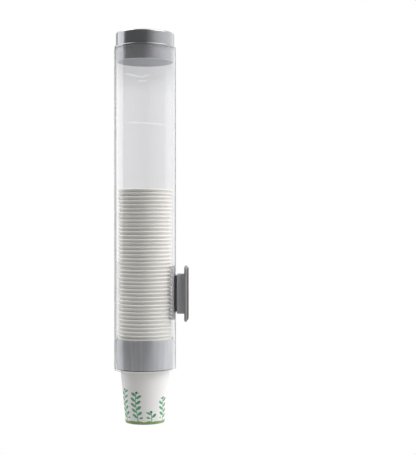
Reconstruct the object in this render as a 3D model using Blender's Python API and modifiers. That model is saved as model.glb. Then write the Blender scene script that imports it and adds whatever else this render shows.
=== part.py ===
"""Wall-mounted paper cup holder: a clear tube of nested cups that lets one go at a time."""

import math

import bmesh
import bpy

MM = 0.001

# Paper cup
CUP_COUNT = 45
CUP_HEIGHT = 89.0 * MM
CUP_FOOT_RADIUS = 26.5 * MM
CUP_MOUTH_RADIUS = 34.7 * MM
CUP_WALL = 0.25 * MM
CUP_NEST_GAP = 0.24 * MM
CUP_RIM_OVERHANG = 1.9 * MM
CUP_RIM_HEIGHT = 2.8 * MM
CUP_BASE_THICKNESS = 0.45 * MM
CUP_BASE_GAP = 0.6 * MM
STACKED_CUP_SIDES = 16
FRONT_CUP_SIDES = 48

# Clear tube
CUP_RUNNING_GAP = 3.6 * MM
TUBE_WALL = 1.8 * MM
TUBE_LENGTH = 434.6 * MM
TUBE_DROP = 103.5 * MM
TUBE_SIDES = 48

# Fits between neighbours
FIT_GAP = 0.3 * MM
SCREW_GAP = 0.3 * MM
OVERRUN = 5.0 * MM

# Lid: a plug with a flange that sits on the tube, and a crown over it
PLUG_SIDE_GAP = 1.4 * MM
PLUG_DEPTH = 17.8 * MM
PLUG_WALL = 2.0 * MM
PLUG_FLOOR = 1.8 * MM
PLUG_CHAMFER = 0.8 * MM
PLUG_UPSTAND = 4.0 * MM
FLANGE_INSET = 0.3 * MM
FLANGE_HEIGHT = 2.8 * MM
CROWN_STEP = 2.0 * MM
CROWN_HEIGHT = 18.3 * MM
CROWN_WALL = 1.8 * MM
CROWN_EDGE_RADIUS = 2.4 * MM
CROWN_EDGE_STEPS = 3
LID_SIDES = 48

# Collar and the cup retainer inside it
COLLAR_HEIGHT = 41.3 * MM
COLLAR_RECESS = 1.5 * MM
COLLAR_BAND = 5.0 * MM
COLLAR_MOUTH_GAP = 0.5 * MM
COLLAR_MOUTH_WALL = 1.3 * MM
COLLAR_MOUTH_HEIGHT = 10.5 * MM
COLLAR_EDGE = 1.2 * MM
RETAINER_GAP = 0.6 * MM
RETAINER_WALL = 0.8 * MM
RETAINER_HEIGHT = 27.0 * MM
FINGER_COUNT = 12
FINGER_SLOT_WIDTH = 2.0 * MM
FINGER_SLOT_HEIGHT = 15.0 * MM
FINGER_ROOT_RISE = 3.2 * MM
FINGER_TIP_FALL = 1.6 * MM
FINGER_TIP_GAP = 0.3 * MM
FINGER_TIP_THICKNESS = 1.0 * MM
RIM_SEAT_DROP = 0.2 * MM
COLLAR_SIDES = 48

# Slide rail on the back of the tube
RAIL_HEIGHT = 48.6 * MM
SADDLE_HALF_WIDTH = 11.5 * MM
SADDLE_FRONT_GAP = 1.15 * MM
WEB_HALF_WIDTH = 4.5 * MM
HEAD_HALF_WIDTH = 8.0 * MM
HEAD_THICKNESS = 4.5 * MM

# Backing plate inside the tube and the two screws through it
BACKING_HEIGHT = 73.0 * MM
BACKING_RISE = 1.5 * MM
BACKING_THICKNESS = 1.9 * MM
BACKING_HALF_WIDTH = 10.0 * MM
BACKING_ARC_STEPS = 6
SCREW_SPACING = 32.0 * MM
SCREW_RADIUS = 1.9 * MM
SCREW_HEAD_RADIUS = 3.5 * MM
SCREW_HEAD_DEPTH = 1.5 * MM
SCREW_HEAD_SINK = 0.1 * MM
SCREW_TIP_COVER = 2.0 * MM
SCREW_SIDES = 12

# Wall bracket: a plate with a block whose channel takes the rail's head
BLOCK_HEIGHT_ABOVE = 26.3 * MM
BLOCK_STOP_HEIGHT = 2.4 * MM
BLOCK_SIDE_WALL = 5.7 * MM
BLOCK_FRONT_WALL = 2.2 * MM
BLOCK_BACK_WALL = 3.0 * MM
BLOCK_EDGE = 0.8 * MM
PLATE_HEIGHT = 74.4 * MM
PLATE_WIDTH = 50.0 * MM
PLATE_THICKNESS = 4.0 * MM
PLATE_CORNER_RADIUS = 6.0 * MM
PLATE_EDGE = 1.2 * MM
PAD_THICKNESS = 1.1 * MM
PAD_INSET = 2.5 * MM
CORNER_STEPS = 4
EDGE_STEPS = 2

# Radii and levels that follow from the sizes above; level zero is the middle of the wall plate
CUP_RIM_RADIUS = CUP_MOUTH_RADIUS + CUP_RIM_OVERHANG
CUP_SLOPE = (CUP_MOUTH_RADIUS - CUP_FOOT_RADIUS) / (CUP_HEIGHT - CUP_RIM_HEIGHT)
CUP_PITCH = (CUP_WALL + CUP_NEST_GAP) / CUP_SLOPE
TUBE_BORE = CUP_RIM_RADIUS + CUP_RUNNING_GAP
TUBE_RADIUS = TUBE_BORE + TUBE_WALL
TUBE_BOTTOM = -TUBE_DROP
TUBE_TOP = TUBE_BOTTOM + TUBE_LENGTH

COLLAR_BOTTOM = TUBE_BOTTOM + COLLAR_RECESS
COLLAR_TOP = COLLAR_BOTTOM + COLLAR_HEIGHT
COLLAR_SHOULDER = COLLAR_BOTTOM + COLLAR_MOUTH_HEIGHT
RETAINER_BORE = CUP_RIM_RADIUS + RETAINER_GAP
RETAINER_RADIUS = RETAINER_BORE + RETAINER_WALL
RETAINER_BOTTOM = COLLAR_SHOULDER + FIT_GAP
FINGER_ROOT = RETAINER_BOTTOM + FINGER_ROOT_RISE
FINGER_TIP = FINGER_ROOT - FINGER_TIP_FALL
FRONT_CUP_BOTTOM = FINGER_ROOT - RIM_SEAT_DROP + CUP_RIM_HEIGHT - CUP_HEIGHT

SADDLE_BACK = TUBE_RADIUS + SADDLE_FRONT_GAP
BLOCK_FRONT = SADDLE_BACK + FIT_GAP
CHANNEL_FRONT = BLOCK_FRONT + BLOCK_FRONT_WALL
HEAD_FRONT = CHANNEL_FRONT + FIT_GAP
HEAD_BACK = HEAD_FRONT + HEAD_THICKNESS
CHANNEL_BACK = HEAD_BACK + FIT_GAP
PLATE_FRONT = CHANNEL_BACK + BLOCK_BACK_WALL
PLATE_BACK = PLATE_FRONT + PLATE_THICKNESS
PAD_FRONT = PLATE_BACK + FIT_GAP
AXIS_TO_WALL = PAD_FRONT + PAD_THICKNESS
CHANNEL_HALF_WIDTH = HEAD_HALF_WIDTH + FIT_GAP
BLOCK_HALF_WIDTH = CHANNEL_HALF_WIDTH + BLOCK_SIDE_WALL
CHANNEL_FLOOR = -RAIL_HEIGHT / 2 - FIT_GAP
BLOCK_BOTTOM = CHANNEL_FLOOR - BLOCK_STOP_HEIGHT

BACKING_RADIUS = TUBE_BORE - FIT_GAP
BACKING_FACE = BACKING_RADIUS - BACKING_THICKNESS
SCREW_LEVELS = {"upper": SCREW_SPACING / 2, "lower": -SCREW_SPACING / 2}

MERGE_DISTANCE = 0.00001
SMOOTH_ANGLE = math.radians(40)


def clear_scene():
    for old in list(bpy.data.objects):
        bpy.data.objects.remove(old)


def new_collection(name):
    group = bpy.data.collections.new(name)
    bpy.context.scene.collection.children.link(group)
    return group


def principled(name, colour, roughness, alpha=1.0):
    finish = bpy.data.materials.new(name)
    finish.use_nodes = True
    shader = finish.node_tree.nodes["Principled BSDF"]
    shader.inputs["Base Color"].default_value = (*colour, 1.0)
    shader.inputs["Roughness"].default_value = roughness
    shader.inputs["Alpha"].default_value = alpha
    finish.diffuse_color = (*colour, alpha)
    return finish


def steel(name, colour, roughness):
    finish = principled(name, colour, roughness)
    finish.node_tree.nodes["Principled BSDF"].inputs["Metallic"].default_value = 1.0
    return finish


def place(mesh, name, group, finish=None, location=(0, 0, 0)):
    piece = bpy.data.objects.new(name, mesh)
    piece.location = location
    group.objects.link(piece)
    if finish and not mesh.materials:
        mesh.materials.append(finish)
    return piece


def place_on_axis(mesh, name, group, finish=None, level=0):
    """Everything round stands on the tube's axis."""
    return place(mesh, name, group, finish, (0, -AXIS_TO_WALL, level))


def make_cutter(mesh, name, group, location=(0, 0, 0)):
    cutter = place(mesh, name, group, None, location)
    cutter.hide_render = True
    cutter.display_type = "WIRE"
    return cutter


def apply_boolean(piece, cutter, operation="DIFFERENCE"):
    step = piece.modifiers.new(operation.lower() + "_" + cutter.name, "BOOLEAN")
    step.operation = operation
    step.solver = "EXACT"
    step.object = cutter


def add_bevel(piece, width, segments=1, angle=math.radians(60)):
    step = piece.modifiers.new("edges", "BEVEL")
    step.width = width
    step.segments = segments
    step.limit_method = "ANGLE"
    step.angle_limit = angle


def settled_mesh(temporary, name):
    """Turn an object's modifiers or curve into one plain mesh and drop the object."""
    graph = bpy.context.evaluated_depsgraph_get()
    mesh = bpy.data.meshes.new_from_object(temporary.evaluated_get(graph))
    mesh.name = name
    bpy.data.objects.remove(temporary)
    work = bmesh.new()
    work.from_mesh(mesh)
    bmesh.ops.remove_doubles(work, verts=work.verts, dist=MERGE_DISTANCE)
    work.to_mesh(mesh)
    work.free()
    return mesh


def turned_mesh(name, profile, sides, closed):
    """Turn a profile of (radius, level) points, listed down its outer side, once about Z."""
    outline = bpy.data.meshes.new(name + "_profile")
    edges = [(i, i + 1) for i in range(len(profile) - 1)]
    if closed:
        edges.append((len(profile) - 1, 0))
    outline.from_pydata([(radius, 0, level) for radius, level in profile], edges, [])
    temporary = bpy.data.objects.new(name + "_profile", outline)
    bpy.context.scene.collection.objects.link(temporary)
    screw = temporary.modifiers.new("turn", "SCREW")
    screw.steps = sides
    screw.render_steps = sides
    screw.use_merge_vertices = True
    screw.merge_threshold = MERGE_DISTANCE
    mesh = settled_mesh(temporary, name)
    mesh.shade_smooth()
    mesh.set_sharp_from_angle(angle=SMOOTH_ANGLE)
    return mesh


def prism_mesh(name, outline, low, high):
    """Extrude a flat outline of (x, y) points from low to high, with each cap as one face."""
    curve = bpy.data.curves.new(name + "_outline", "CURVE")
    curve.dimensions = "2D"
    curve.fill_mode = "BOTH"
    curve.extrude = (high - low) / 2
    path = curve.splines.new("POLY")
    path.points.add(len(outline) - 1)
    for point, (x, y) in zip(path.points, outline):
        point.co = (x, y, 0, 1)
    path.use_cyclic_u = True
    temporary = bpy.data.objects.new(name + "_outline", curve)
    bpy.context.scene.collection.objects.link(temporary)
    mesh = settled_mesh(temporary, name)
    work = bmesh.new()
    work.from_mesh(mesh)
    bmesh.ops.translate(work, verts=work.verts, vec=(0, 0, (low + high) / 2))
    caps = []
    for face in work.faces:
        levels = [vertex.co.z for vertex in face.verts]
        if max(levels) == min(levels):
            caps.append(face)
    bmesh.ops.delete(work, geom=caps, context="FACES")
    bmesh.ops.holes_fill(work, edges=work.edges)
    bmesh.ops.recalc_face_normals(work, faces=work.faces)
    work.to_mesh(mesh)
    work.free()
    return mesh


def box_mesh(name, low, high):
    work = bmesh.new()
    bmesh.ops.create_cube(work, size=1)
    size = [b - a for a, b in zip(low, high)]
    middle = [(a + b) / 2 for a, b in zip(low, high)]
    bmesh.ops.scale(work, verts=work.verts, vec=size)
    bmesh.ops.translate(work, verts=work.verts, vec=middle)
    mesh = bpy.data.meshes.new(name)
    work.to_mesh(mesh)
    work.free()
    return mesh


def arc(radius_x, radius_y, centre, start, end, steps):
    """Points on an arc, angles in degrees."""
    points = []
    for i in range(steps + 1):
        angle = math.radians(start + (end - start) * i / steps)
        points.append((centre[0] + radius_x * math.cos(angle), centre[1] + radius_y * math.sin(angle)))
    return points


def rounded_rectangle(half_width, half_height, radius, steps):
    points = []
    for start, side_x, side_y in ((0, 1, 1), (90, -1, 1), (180, -1, -1), (270, 1, -1)):
        centre = (side_x * (half_width - radius), side_y * (half_height - radius))
        points += arc(radius, radius, centre, start, start + 90, steps)
    return points


def face_wall(mesh, front):
    """Stand a flat prism up so that its extrusion runs from the front level towards the wall."""
    for vertex in mesh.vertices:
        x, z, depth = vertex.co
        vertex.co = (x, front + depth, z)
    work = bmesh.new()
    work.from_mesh(mesh)
    bmesh.ops.recalc_face_normals(work, faces=work.faces)
    work.to_mesh(mesh)
    work.free()


def cup_radius(level):
    """Outer radius of a cup's wall at a level above its foot."""
    return CUP_FOOT_RADIUS + CUP_SLOPE * level


def cup_mesh(name, sides):
    """A tapered paper cup: rolled rim, thin wall, and a floor set up inside the foot ring."""
    floor_top = CUP_PITCH - CUP_BASE_GAP
    floor_bottom = floor_top - CUP_BASE_THICKNESS
    rim_bottom = CUP_HEIGHT - CUP_RIM_HEIGHT
    roll_shoulder = CUP_RIM_OVERHANG / 4
    profile = [
        (0, floor_top),
        (cup_radius(floor_top) - CUP_WALL, floor_top),
        (cup_radius(CUP_HEIGHT - roll_shoulder) - CUP_WALL, CUP_HEIGHT - roll_shoulder),
        (CUP_RIM_RADIUS - roll_shoulder, CUP_HEIGHT),
        (CUP_RIM_RADIUS, CUP_HEIGHT - CUP_RIM_HEIGHT / 2),
        (CUP_RIM_RADIUS - roll_shoulder, rim_bottom),
        (CUP_MOUTH_RADIUS, rim_bottom),
        (CUP_FOOT_RADIUS, 0),
        (CUP_FOOT_RADIUS - CUP_WALL, 0),
        (cup_radius(floor_bottom) - CUP_WALL, floor_bottom),
        (0, floor_bottom),
    ]
    return turned_mesh(name, profile, sides, closed=False)


def build_cups(parts, finish):
    """The front cup hangs by its rim in the retainer, and the others nest upwards from it."""
    front = cup_mesh("front_cup", FRONT_CUP_SIDES)
    place_on_axis(front, "cup_01", parts, finish, FRONT_CUP_BOTTOM)
    stacked = cup_mesh("stacked_cup", STACKED_CUP_SIDES)
    for number in range(2, CUP_COUNT + 1):
        level = FRONT_CUP_BOTTOM + (number - 1) * CUP_PITCH
        place_on_axis(stacked, f"cup_{number:02d}", parts, finish, level)


def screw_hole(name, radius, cutters, level, start, end):
    """A round cutter along Y through what the rail screws pass."""
    work = bmesh.new()
    bmesh.ops.create_cone(
        work, cap_ends=True, segments=SCREW_SIDES, radius1=radius, radius2=radius, depth=end - start
    )
    lay_along_y(work, (start + end) / 2, level)
    mesh = bpy.data.meshes.new(name)
    work.to_mesh(mesh)
    work.free()
    return make_cutter(mesh, name, cutters, (0, -AXIS_TO_WALL, 0))


def lay_along_y(work, middle, level):
    """Turn a shape from +Z to +Y and set it at its place behind the tube's axis."""
    for vertex in work.verts:
        x, y, z = vertex.co
        vertex.co = (x, z + middle, -y + level)


def build_tube(parts, cutters, finish):
    profile = [
        (TUBE_RADIUS, TUBE_TOP),
        (TUBE_RADIUS, TUBE_BOTTOM),
        (TUBE_BORE, TUBE_BOTTOM),
        (TUBE_BORE, TUBE_TOP),
    ]
    tube = place_on_axis(turned_mesh("tube", profile, TUBE_SIDES, closed=True), "tube", parts, finish)
    for label, level in SCREW_LEVELS.items():
        start = TUBE_BORE - OVERRUN
        end = TUBE_RADIUS + OVERRUN
        hole = screw_hole("tube_hole_" + label, SCREW_RADIUS + SCREW_GAP, cutters, level, start, end)
        apply_boolean(tube, hole)


def build_lid(parts, finish):
    """The plug drops into the tube until its flange sits on the rim, and the crown covers it."""
    plug_radius = TUBE_BORE - PLUG_SIDE_GAP
    plug_bottom = TUBE_TOP - PLUG_DEPTH
    flange_radius = TUBE_RADIUS - FLANGE_INSET
    flange_bottom = TUBE_TOP + FIT_GAP
    flange_top = flange_bottom + FLANGE_HEIGHT
    crown_radius = flange_radius - CROWN_STEP
    crown_bore = crown_radius - CROWN_WALL
    crown_bottom = flange_top + FIT_GAP
    crown_top = crown_bottom + CROWN_HEIGHT
    plug_bore = plug_radius - PLUG_WALL
    upstand_radius = crown_bore - FIT_GAP
    upstand_top = flange_top + PLUG_UPSTAND
    plug_profile = [
        (0, plug_bottom + PLUG_FLOOR),
        (plug_bore, plug_bottom + PLUG_FLOOR),
        (plug_bore, upstand_top),
        (upstand_radius, upstand_top),
        (upstand_radius, flange_top),
        (flange_radius, flange_top),
        (flange_radius, flange_bottom),
        (plug_radius, flange_bottom),
        (plug_radius, plug_bottom + PLUG_CHAMFER),
        (plug_radius - PLUG_CHAMFER, plug_bottom),
        (0, plug_bottom),
    ]
    edge_centre = (crown_radius - CROWN_EDGE_RADIUS, crown_top - CROWN_EDGE_RADIUS)
    edge = arc(CROWN_EDGE_RADIUS, CROWN_EDGE_RADIUS, edge_centre, 90, 0, CROWN_EDGE_STEPS)
    crown_profile = [
        (0, crown_top),
        *edge,
        (crown_radius, crown_bottom),
        (crown_bore, crown_bottom),
        (crown_bore, crown_top - CROWN_WALL),
        (0, crown_top - CROWN_WALL),
    ]
    plug = turned_mesh("lid_plug", plug_profile, LID_SIDES, closed=False)
    crown = turned_mesh("lid_crown", crown_profile, LID_SIDES, closed=False)
    place_on_axis(plug, "lid_plug", parts, finish)
    place_on_axis(crown, "lid_crown", parts, finish)


def build_collar(parts, finish):
    """A sleeve in the tube's mouth: a snug band on top, a tapered skirt and a shoulder inside."""
    band_radius = TUBE_BORE - FIT_GAP
    mouth_bore = CUP_RIM_RADIUS + COLLAR_MOUTH_GAP
    mouth_radius = mouth_bore + COLLAR_MOUTH_WALL
    sleeve_bore = RETAINER_RADIUS + FIT_GAP
    profile = [
        (band_radius, COLLAR_TOP),
        (band_radius, COLLAR_TOP - COLLAR_BAND),
        (mouth_radius, COLLAR_BOTTOM + COLLAR_EDGE),
        (mouth_bore + COLLAR_MOUTH_WALL / 2, COLLAR_BOTTOM),
        (mouth_bore, COLLAR_BOTTOM),
        (mouth_bore, COLLAR_SHOULDER),
        (sleeve_bore, COLLAR_SHOULDER),
        (sleeve_bore, COLLAR_TOP),
    ]
    mesh = turned_mesh("collar", profile, COLLAR_SIDES, closed=True)
    place_on_axis(mesh, "collar", parts, finish)


def build_retainer(parts, cutters, finish):
    """A slotted sleeve on the collar's shoulder, whose fingers reach in under the front cup's rim."""
    tip_radius = CUP_MOUTH_RADIUS + FINGER_TIP_GAP
    retainer_top = RETAINER_BOTTOM + RETAINER_HEIGHT
    profile = [
        (RETAINER_RADIUS, retainer_top),
        (RETAINER_RADIUS, RETAINER_BOTTOM),
        (RETAINER_BORE, RETAINER_BOTTOM),
        (tip_radius, FINGER_TIP - FINGER_TIP_THICKNESS),
        (tip_radius, FINGER_TIP),
        (RETAINER_BORE, FINGER_ROOT),
        (RETAINER_BORE, retainer_top),
    ]
    mesh = turned_mesh("cup_retainer", profile, COLLAR_SIDES, closed=True)
    retainer = place_on_axis(mesh, "cup_retainer", parts, finish)
    slot = box_mesh(
        "finger_slot",
        (tip_radius - OVERRUN, -FINGER_SLOT_WIDTH / 2, RETAINER_BOTTOM - OVERRUN),
        (RETAINER_RADIUS + OVERRUN, FINGER_SLOT_WIDTH / 2, RETAINER_BOTTOM + FINGER_SLOT_HEIGHT),
    )
    for number in range(FINGER_COUNT):
        cutter = make_cutter(slot, f"finger_slot_{number + 1:02d}", cutters, (0, -AXIS_TO_WALL, 0))
        cutter.rotation_euler.z = math.tau * (number + 1 / 2) / FINGER_COUNT
        apply_boolean(retainer, cutter)


def build_rail(parts, cutters, finish):
    """A saddle shaped to the tube, with a T-shaped rail that runs down its back."""
    saddle_front = TUBE_BORE - OVERRUN
    half = [
        (SADDLE_HALF_WIDTH, saddle_front),
        (SADDLE_HALF_WIDTH, SADDLE_BACK),
        (WEB_HALF_WIDTH, SADDLE_BACK),
        (WEB_HALF_WIDTH, HEAD_FRONT),
        (HEAD_HALF_WIDTH, HEAD_FRONT),
        (HEAD_HALF_WIDTH, HEAD_BACK),
    ]
    outline = half + [(-x, y) for x, y in reversed(half)]
    mesh = prism_mesh("slide_rail", outline, -RAIL_HEIGHT / 2, RAIL_HEIGHT / 2)
    rail = place_on_axis(mesh, "slide_rail", parts, finish)
    reach = RAIL_HEIGHT / 2 + OVERRUN
    seat_radius = TUBE_RADIUS + FIT_GAP
    seat_profile = [(0, reach), (seat_radius, reach), (seat_radius, -reach), (0, -reach)]
    seat = turned_mesh("saddle_seat", seat_profile, TUBE_SIDES, closed=False)
    apply_boolean(rail, make_cutter(seat, "saddle_seat", cutters, (0, -AXIS_TO_WALL, 0)))
    for label, level in SCREW_LEVELS.items():
        end = HEAD_BACK - SCREW_TIP_COVER
        radius = SCREW_RADIUS + SCREW_GAP
        hole = screw_hole("rail_hole_" + label, radius, cutters, level, TUBE_RADIUS - OVERRUN, end)
        apply_boolean(rail, hole)


def screw_mesh(name, start, end, level, grow=0, mouth=0):
    """A countersunk screw along Y. As a cutter it grows all round and runs on past its head."""
    shank = SCREW_RADIUS + grow
    head = SCREW_HEAD_RADIUS + grow
    head_end = start + SCREW_HEAD_DEPTH + grow
    profile = [(0, end), (shank, end), (shank, head_end), (head, start)]
    if mouth:
        profile.append((head, start - mouth))
    profile.append((0, start - mouth))
    mesh = turned_mesh(name, profile, SCREW_SIDES, closed=False)
    work = bmesh.new()
    work.from_mesh(mesh)
    lay_along_y(work, 0, level)
    work.to_mesh(mesh)
    work.free()
    return mesh


def build_backing(parts, cutters, plate_finish, screw_finish):
    """A curved plate inside the tube, held to the rail by two countersunk screws."""
    spread = math.degrees(math.asin(BACKING_HALF_WIDTH / BACKING_RADIUS))
    outer = arc(BACKING_RADIUS, BACKING_RADIUS, (0, 0), 90 - spread, 90 + spread, BACKING_ARC_STEPS)
    inner = arc(BACKING_FACE, BACKING_FACE, (0, 0), 90 + spread, 90 - spread, BACKING_ARC_STEPS)
    low = BACKING_RISE - BACKING_HEIGHT / 2
    high = BACKING_RISE + BACKING_HEIGHT / 2
    mesh = prism_mesh("backing_plate", outer + inner, low, high)
    plate = place_on_axis(mesh, "backing_plate", parts, plate_finish)
    start = BACKING_FACE + SCREW_HEAD_SINK
    end = HEAD_BACK - SCREW_TIP_COVER - SCREW_GAP
    for label, level in SCREW_LEVELS.items():
        name = "rail_screw_" + label
        place_on_axis(screw_mesh(name, start, end, level), name, parts, screw_finish)
        sink = screw_mesh("screw_seat_" + label, start, end, level, SCREW_GAP, OVERRUN)
        apply_boolean(plate, make_cutter(sink, "screw_seat_" + label, cutters, (0, -AXIS_TO_WALL, 0)))


def build_bracket(parts, cutters, finish, pad_finish):
    """The plate on the wall, the channel block on its front, and the adhesive pad behind it."""
    half_height = PLATE_HEIGHT / 2
    outline = rounded_rectangle(PLATE_WIDTH / 2, half_height, PLATE_CORNER_RADIUS, CORNER_STEPS)
    plate = prism_mesh("wall_bracket", outline, 0, PLATE_THICKNESS)
    face_wall(plate, PLATE_FRONT)
    bracket = place_on_axis(plate, "wall_bracket", parts, finish)
    add_bevel(bracket, PLATE_EDGE, EDGE_STEPS)

    block = box_mesh(
        "block",
        (-BLOCK_HALF_WIDTH, BLOCK_FRONT, BLOCK_BOTTOM),
        (BLOCK_HALF_WIDTH, PLATE_FRONT + PLATE_THICKNESS / 2, BLOCK_HEIGHT_ABOVE),
    )
    block_body = make_cutter(block, "block", cutters, (0, -AXIS_TO_WALL, 0))
    add_bevel(block_body, BLOCK_EDGE)
    apply_boolean(bracket, block_body, "UNION")

    slot_half_width = WEB_HALF_WIDTH + FIT_GAP
    half = [
        (slot_half_width, BLOCK_FRONT - OVERRUN),
        (slot_half_width, CHANNEL_FRONT),
        (CHANNEL_HALF_WIDTH, CHANNEL_FRONT),
        (CHANNEL_HALF_WIDTH, CHANNEL_BACK),
    ]
    channel = prism_mesh(
        "channel", half + [(-x, y) for x, y in reversed(half)], CHANNEL_FLOOR, BLOCK_HEIGHT_ABOVE + OVERRUN
    )
    apply_boolean(bracket, make_cutter(channel, "channel", cutters, (0, -AXIS_TO_WALL, 0)))

    pad_outline = rounded_rectangle(
        PLATE_WIDTH / 2 - PAD_INSET,
        half_height - PAD_INSET,
        PLATE_CORNER_RADIUS - PAD_INSET / 2,
        CORNER_STEPS,
    )
    pad = prism_mesh("adhesive_pad", pad_outline, 0, PAD_THICKNESS)
    face_wall(pad, PAD_FRONT)
    place_on_axis(pad, "adhesive_pad", parts, pad_finish)


def build_cup_holder():
    clear_scene()
    parts = new_collection("cup_holder")
    cutters = new_collection("cutters")
    clear_acrylic = principled("clear_acrylic", (0.86, 0.88, 0.88), 0.05, alpha=0.3)
    grey_abs = principled("grey_abs", (0.20, 0.205, 0.215), 0.28)
    collar_abs = principled("collar_abs", (0.25, 0.255, 0.265), 0.32)
    bracket_abs = principled("bracket_abs", (0.17, 0.172, 0.18), 0.45)
    charcoal_abs = principled("charcoal_abs", (0.03, 0.032, 0.033), 0.5)
    pale_nylon = principled("pale_nylon", (0.62, 0.60, 0.64), 0.45)
    soft_pe = principled("soft_polyethylene", (0.12, 0.122, 0.13), 0.5)
    paper = principled("coated_paper", (0.82, 0.81, 0.79), 0.6)
    foam = principled("foam_tape", (0.35, 0.27, 0.20), 0.9)
    zinc = steel("zinc_steel", (0.62, 0.63, 0.65), 0.35)

    build_tube(parts, cutters, clear_acrylic)
    build_lid(parts, grey_abs)
    build_collar(parts, collar_abs)
    build_retainer(parts, cutters, soft_pe)
    build_cups(parts, paper)
    build_rail(parts, cutters, charcoal_abs)
    build_backing(parts, cutters, pale_nylon, zinc)
    build_bracket(parts, cutters, bracket_abs, foam)


build_cup_holder()
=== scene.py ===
import math

import bmesh
import bpy
from mathutils import Matrix, Vector


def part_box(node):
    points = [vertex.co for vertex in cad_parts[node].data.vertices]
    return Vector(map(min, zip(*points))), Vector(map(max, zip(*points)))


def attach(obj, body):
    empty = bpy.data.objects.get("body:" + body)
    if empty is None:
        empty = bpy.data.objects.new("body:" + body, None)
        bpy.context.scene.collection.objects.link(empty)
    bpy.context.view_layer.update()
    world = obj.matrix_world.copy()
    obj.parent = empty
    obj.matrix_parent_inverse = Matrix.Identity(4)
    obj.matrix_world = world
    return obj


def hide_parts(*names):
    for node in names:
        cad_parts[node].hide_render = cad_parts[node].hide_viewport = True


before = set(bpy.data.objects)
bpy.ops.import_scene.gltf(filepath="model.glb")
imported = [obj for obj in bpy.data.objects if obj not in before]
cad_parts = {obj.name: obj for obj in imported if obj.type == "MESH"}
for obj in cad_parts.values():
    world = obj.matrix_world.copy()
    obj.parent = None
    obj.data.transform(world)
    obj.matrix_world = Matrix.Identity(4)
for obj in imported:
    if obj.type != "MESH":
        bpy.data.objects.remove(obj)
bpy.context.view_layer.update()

mm = 0.001
cupCount = 45
quarterTurn = Matrix.Rotation(math.radians(90), 4, "X")
scene = bpy.context.scene
scene.view_settings.view_transform = "Standard"

# levels and places come from the CAD boxes, so the pieces follow the model
tubeLow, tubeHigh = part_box("tube")
axis = Vector(((tubeLow.x + tubeHigh.x) / 2, (tubeLow.y + tubeHigh.y) / 2, 0))
tubeTop, tubeBottom = tubeHigh.z / mm, tubeLow.z / mm
screwLevels = [sum((corner.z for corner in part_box(name)), 0.0) / 2 for name in ("rail_screw_upper", "rail_screw_lower")]
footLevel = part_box("cup_01")[0].z
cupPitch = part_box("cup_02")[0].z - footLevel
stackNames = [f"cup_{number:02d}" for number in range(2, cupCount + 1)]


def srgb(code):
    channels = [int(code[i:i + 2], 16) / 255 for i in (1, 3, 5)]
    linear = [c / 12.92 if c <= 0.04045 else ((c + 0.055) / 1.055) ** 2.4 for c in channels]
    return (*linear, 1.0)


def addNode(tree, kind, links=None, **settings):
    # an input takes a value, a socket, or a node, which then gives the first output that it has in use
    node = tree.nodes.new(kind)
    for key, value in settings.items():
        setattr(node, key, value)
    for key, value in (links or {}).items():
        if isinstance(value, bpy.types.Node):
            value = next(socket for socket in value.outputs if socket.enabled)
        if isinstance(value, bpy.types.NodeSocket):
            tree.links.new(value, node.inputs[key])
        else:
            node.inputs[key].default_value = value
    return node


def makeFinish(name, surface, *looks):
    # surface is one of the functions below, which draws into the tree and returns its last node
    finish = bpy.data.materials.new(name)
    finish.use_nodes = True
    tree = finish.node_tree
    tree.nodes.clear()
    place = addNode(tree, "ShaderNodeTexCoord").outputs["Object"]
    addNode(tree, "ShaderNodeOutputMaterial", {"Surface": surface(tree, place, *looks)})
    return finish


# what a moulded plastic has unless its own look says otherwise
plainMould = {
    "metallic": 0.0, "ior": 1.5, "coat": 0.0, "coatRoughness": 0.06, "roughSpread": 0.04,
    "grainSize": 0.5, "grainStrength": 0.3, "grainDepth": 0.03, "streakStretch": 1.0, "flowAndStreakContrast": 0.1}


def mouldedPlastic(tree, place, ownLook):
    look = {**plainMould, **ownLook}
    # fine grain left by the mould's texture, and wide patches where the melt flowed; stretched upright, as on the
    # collar, the patches become streaks of painted reflection
    grain = addNode(tree, "ShaderNodeTexNoise", {"Vector": place, "Scale": 1 / (look["grainSize"] * mm), "Detail": 3.0})
    drawn = addNode(tree, "ShaderNodeMapping", {"Vector": place, "Scale": (1, 1, look["streakStretch"])})
    flowAndStreaks = addNode(tree, "ShaderNodeTexNoise", {"Vector": drawn, "Scale": 1 / (look["flowAndStreakSize"] * mm)})
    half = look["flowAndStreakContrast"] / 2
    blend = addNode(tree, "ShaderNodeMapRange", {
        "Value": flowAndStreaks, "From Min": 0.35, "From Max": 0.65, "To Min": 0.5 - half, "To Max": 0.5 + half})
    tone = addNode(tree, "ShaderNodeMix", {
        0: blend, 6: srgb(look["darkColour"]), 7: srgb(look["lightColour"])}, data_type="RGBA")
    sheen = addNode(tree, "ShaderNodeMapRange", {
        "Value": grain, "From Min": 0.3, "From Max": 0.7,
        "To Min": look["roughness"] - look["roughSpread"], "To Max": look["roughness"] + look["roughSpread"]})
    relief = addNode(tree, "ShaderNodeBump", {
        "Height": grain, "Strength": look["grainStrength"], "Distance": look["grainDepth"] * mm})
    return addNode(tree, "ShaderNodeBsdfPrincipled", {
        "Base Color": tone, "Roughness": sheen, "Normal": relief, "Metallic": look["metallic"], "IOR": look["ior"],
        "Coat Weight": look["coat"], "Coat Roughness": look["coatRoughness"]})


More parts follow.
